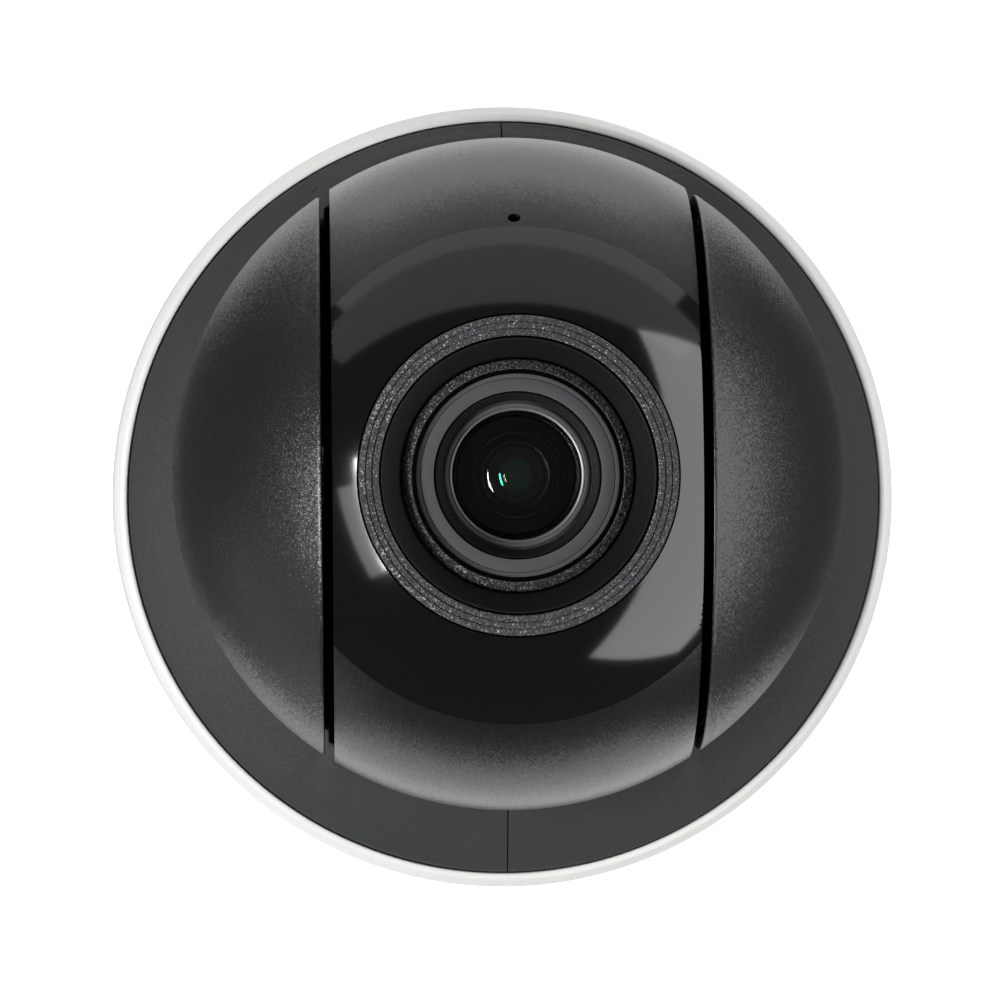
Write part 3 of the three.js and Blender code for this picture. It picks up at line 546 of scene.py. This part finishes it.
def lens_ring():
    """The smooth grey face of the lens, with a fine groove near its outer edge."""
    outline = [(13, 39.6), (15.7, 39.6), (15.7, 44), (15.1, 44), (15.08, 43.8), (14.98, 43.8),
               (14.96, 44), (13, 44)]
    return turned(rounded(outline, 0.04, 2), SMALL)


def stepped_baffle():
    """Black anti-glare steps that lead down from the lens face to the glass."""
    outline = [(11.55, 39.9), (12.7, 39.9), (12.8, 43.5), (12.55, 43.5), (12.5, 42.6),
               (12.2, 42.5), (12.15, 41.6), (11.9, 41.5), (11.85, 40.7), (11.6, 40.6)]
    return turned(rounded(outline, 0.06, 2), SMALL)


def retaining_ring():
    """The bright metal ring that holds the front glass, with a groove between two lands."""
    outline = [(10, 38.8), (12, 38.8), (12, 39.5), (11.3, 39.55), (11.25, 39.9), (10.7, 40),
               (10.62, 39.8), (10.52, 39.8), (10.44, 40), (10.1, 39.9)]
    return turned(rounded(outline, 0.06, 2), SMALL)


def dome(radius, foot, edge, apex, steps=24):
    """A lens: a short side and a bulging front, open at the back."""
    sag = apex - edge
    curve = (radius ** 2 + sag ** 2) / (2 * sag)
    arc = []
    for i in range(steps + 1):
        r = radius * (1 - i / steps)
        arc.append((r, apex - curve + math.sqrt(curve ** 2 - r ** 2)))
    return turned([(radius, foot)] + arc, SMALL, closed=False)


def cap(radius, curve, apex, steps=20):
    """The coated front face of a steeply curved inner element."""
    reach = math.asin(radius / curve)
    arc = [(curve * math.sin(reach * i / steps), apex - curve * (1 - math.cos(reach * i / steps)))
           for i in range(steps + 1)]
    return turned(arc, SMALL, closed=False)


def element_rim():
    """The blacked edge of the second element, which catches a little light."""
    return turned([(6.5, 35.5), (6.78, 35.4), (6.78, 35.6), (6.64, 35.72), (6.5, 35.68)], SMALL)


def glass_cell():
    """The black cup that holds the glass, with a narrow rim round the second element."""
    outline = [(0, 29.3), (8.8, 29.3), (8.8, 32.4), (12.2, 32.4), (12.2, 38), (9.9, 38.2),
               (7.5, 35.6), (7.25, 35.7), (7.2, 29.8), (0, 29.8)]
    return turned(outline, SMALL, closed=False)


def pivot_washers():
    """Black washers on the tilt axis, which fill the slots between ball and cheeks."""
    sides = []
    for side in (-1, 1):
        outline = [(5.2, side * 28.65), (9, side * 28.65), (9, side * 29.9), (5.2, side * 29.9)]
        sides.append(turned(outline, SMALL, "x"))
    return joined(sides)


base_housing()
for word, direction in (("left", -1), ("right", 1)):
    half_shell(word, direction)
    cheek(word, direction)
ball_front = settle(front_shell(), "ball_front_skin", BALL_SKIN, "tilt_head", ["front_shell"])
mic_lean = math.asin(MIC_Y / BALL)
drill(ball_front, Vector((0, math.sin(mic_lean), math.cos(mic_lean))), MIC_RADIUS, (47.6, 60))
settle(rear_shell(), "ball_rear_skin", BALL_SKIN, "tilt_head", ["rear_shell"])
settle(front_window(), "dark_window", GLOSS, "tilt_head", ["front_window"])
settle(bezel_ring(), "ridged_bezel", BEZEL, "tilt_head", ["bezel_ring"])
settle(lens_hood(), "recess_funnel", INNER_BLACK, "tilt_head", ["lens_hood"])
settle(barrel_collar(), "collar_ring", COLLAR, "tilt_head", ["barrel_collar"])
settle(lens_ring(), "lens_face_ring", RING, "tilt_head", ["lens_ring"])
settle(stepped_baffle(), "anti_glare_steps", INNER_BLACK, "tilt_head", ["stepped_baffle"])
settle(retaining_ring(), "glass_retaining_ring", BRIGHT, "tilt_head", ["retaining_ring"])
settle(glass_cell(), "glass_cell", INNER_BLACK, "tilt_head")
settle(dome(9.75, 38.6, 38.7, 40.4), "front_glass", CLEAR, "tilt_head", ["front_lens"])
settle(cap(7.1, 10.7, 37.6), "second_element", CLEAR, "tilt_head")
settle(element_rim(), "element_rim", EDGE, "tilt_head")
settle(cap(4.6, 5.9, 36.4), "third_element", GREEN_COAT, "tilt_head")
settle(cap(3.4, 4.3, 35.4), "fourth_element", CREAM_COAT, "tilt_head")
settle(cap(1.5, 1.7, 34.6), "fifth_element", GLASS, "tilt_head")
settle(pivot_washers(), "pivot_washers", INNER_BLACK, "tilt_head")

# ------------------------------------------------------------------ studio
FLOOR_SIZE = 12.0
FLOOR_GLOW = 0.94
ROOM_LIGHT = 0.1  # what the room itself gives the object


def studio_floor():
    """A pale floor that glows by itself, so it stays even and neither lights the object nor
    shows in its gloss."""
    bm = bmesh.new()
    bmesh.ops.create_grid(bm, x_segments=1, y_segments=1, size=FLOOR_SIZE / 2)
    mesh = bpy.data.meshes.new("floor")
    bm.to_mesh(mesh)
    bm.free()
    floor = bpy.data.objects.new("floor", mesh)
    bpy.context.scene.collection.objects.link(floor)
    material, tree, shader = start("white_backdrop", "#f6f6f6", Roughness=0.9)
    place = add(tree, "ShaderNodeTexCoord").outputs["Object"]
    cloud(tree, shader, place, "#f5f5f5", "#f8f8f8", 300)
    shader.inputs["Emission Color"].default_value = linear("#ffffff")
    shader.inputs["Emission Strength"].default_value = FLOOR_GLOW
    mesh.materials.append(material)
    floor.visible_glossy = False
    floor.visible_diffuse = False
    floor.visible_shadow = False


def panel(name, centre, across, up, radiance):
    """A rectangular softbox: its middle and its two edges, in metres from the ball's centre."""
    across, up = Vector(across), Vector(up)
    light = bpy.data.lights.new(name, "AREA")
    light.shape = "RECTANGLE"
    light.size, light.size_y = across.length, up.length
    light.energy = radiance * math.pi * across.length * up.length
    lamp = bpy.data.objects.new(name, light)
    bpy.context.scene.collection.objects.link(lamp)
    lamp.visible_camera = False
    side = across.normalized()
    back = side.cross(up).normalized()
    if back.dot(Vector(centre)) < 0:
        side, back = -side, -back
    turn = Matrix((side, back.cross(side), back)).transposed()
    lamp.rotation_euler = turn.to_euler()
    lamp.location = CENTRE * MM + Vector(centre)


def studio_light():
    """Rectangular softboxes and dim walls in a pale room, brightest on the left."""
    world = bpy.data.worlds.new("studio")
    bpy.context.scene.world = world
    world.use_nodes = True
    tree = world.node_tree
    room = tree.nodes["Background"]
    room.inputs["Color"].default_value = linear("#ffffff")
    room.inputs["Strength"].default_value = ROOM_LIGHT
    backdrop = add(tree, "ShaderNodeBackground", {}, {"Color": linear("#ffffff"), "Strength": 1.0})
    seen = add(tree, "ShaderNodeLightPath").outputs["Is Camera Ray"]
    mix = add(tree, "ShaderNodeMixShader", {0: seen, 1: room.outputs[0], 2: backdrop.outputs[0]})
    tree.links.new(mix.outputs[0], tree.nodes["World Output"].inputs["Surface"])
    panel("right_softbox", (0.422, -0.065, 0.147), (-0.15, -0.88, -0.03), (0.295, 0.04, -0.178),
          2.8)
    panel("left_softbox", (-0.459, -0.167, 0.382), (0.103, -0.282, 0), (-0.075, -0.027, -0.102),
          2.2)
    panel("left_key", (-0.424, -0.1136, 0.409), (0.093, -0.348, 0), (-0.055, -0.015, -0.06), 38)
    panel("low_left_card", (-0.42, -0.3, -0.16), (0.25, -0.35, 0), (0, 0, 0.26), 0.5)
    panel("top_wall", (0, 0.6, -0.16), (1.2, 0, 0), (0, 0, 0.52), 0.72)
    panel("top_wall_glow", (0, 0.6, 0.24), (1.8, 0, 0), (0, 0, 0.28), 0.45)
    panel("low_top_wall", (0, 0.35, -0.33), (0.55, 0, 0), (0, 0.42, 0.3), 1.05)
    panel("table", (0, -0.35, -0.35), (0.55, 0, 0), (0, -0.4, 0.28), 1.3)


def studio_camera():
    """Looks down the pan axis from nearly straight above the lens."""
    camera_data = bpy.data.cameras.new("camera")
    camera_data.sensor_width = 36
    camera_data.lens = 200
    camera_data.clip_end = 50
    camera = bpy.data.objects.new("camera", camera_data)
    bpy.context.scene.collection.objects.link(camera)
    place = Vector((-0.0298, 0.0084, 0.960))
    target = Vector((-0.0014, -0.0002, 0.060))
    camera.location = place
    away = (place - target).normalized()
    roll = math.radians(0.5)
    up = Vector((math.sin(roll), math.cos(roll), 0))
    right = up.cross(away).normalized()
    up = away.cross(right)
    camera.rotation_euler = Matrix((right, up, away)).transposed().to_euler()
    bpy.context.scene.camera = camera


studio_floor()
studio_light()
studio_camera()
bpy.context.scene.view_settings.view_transform = "Standard"
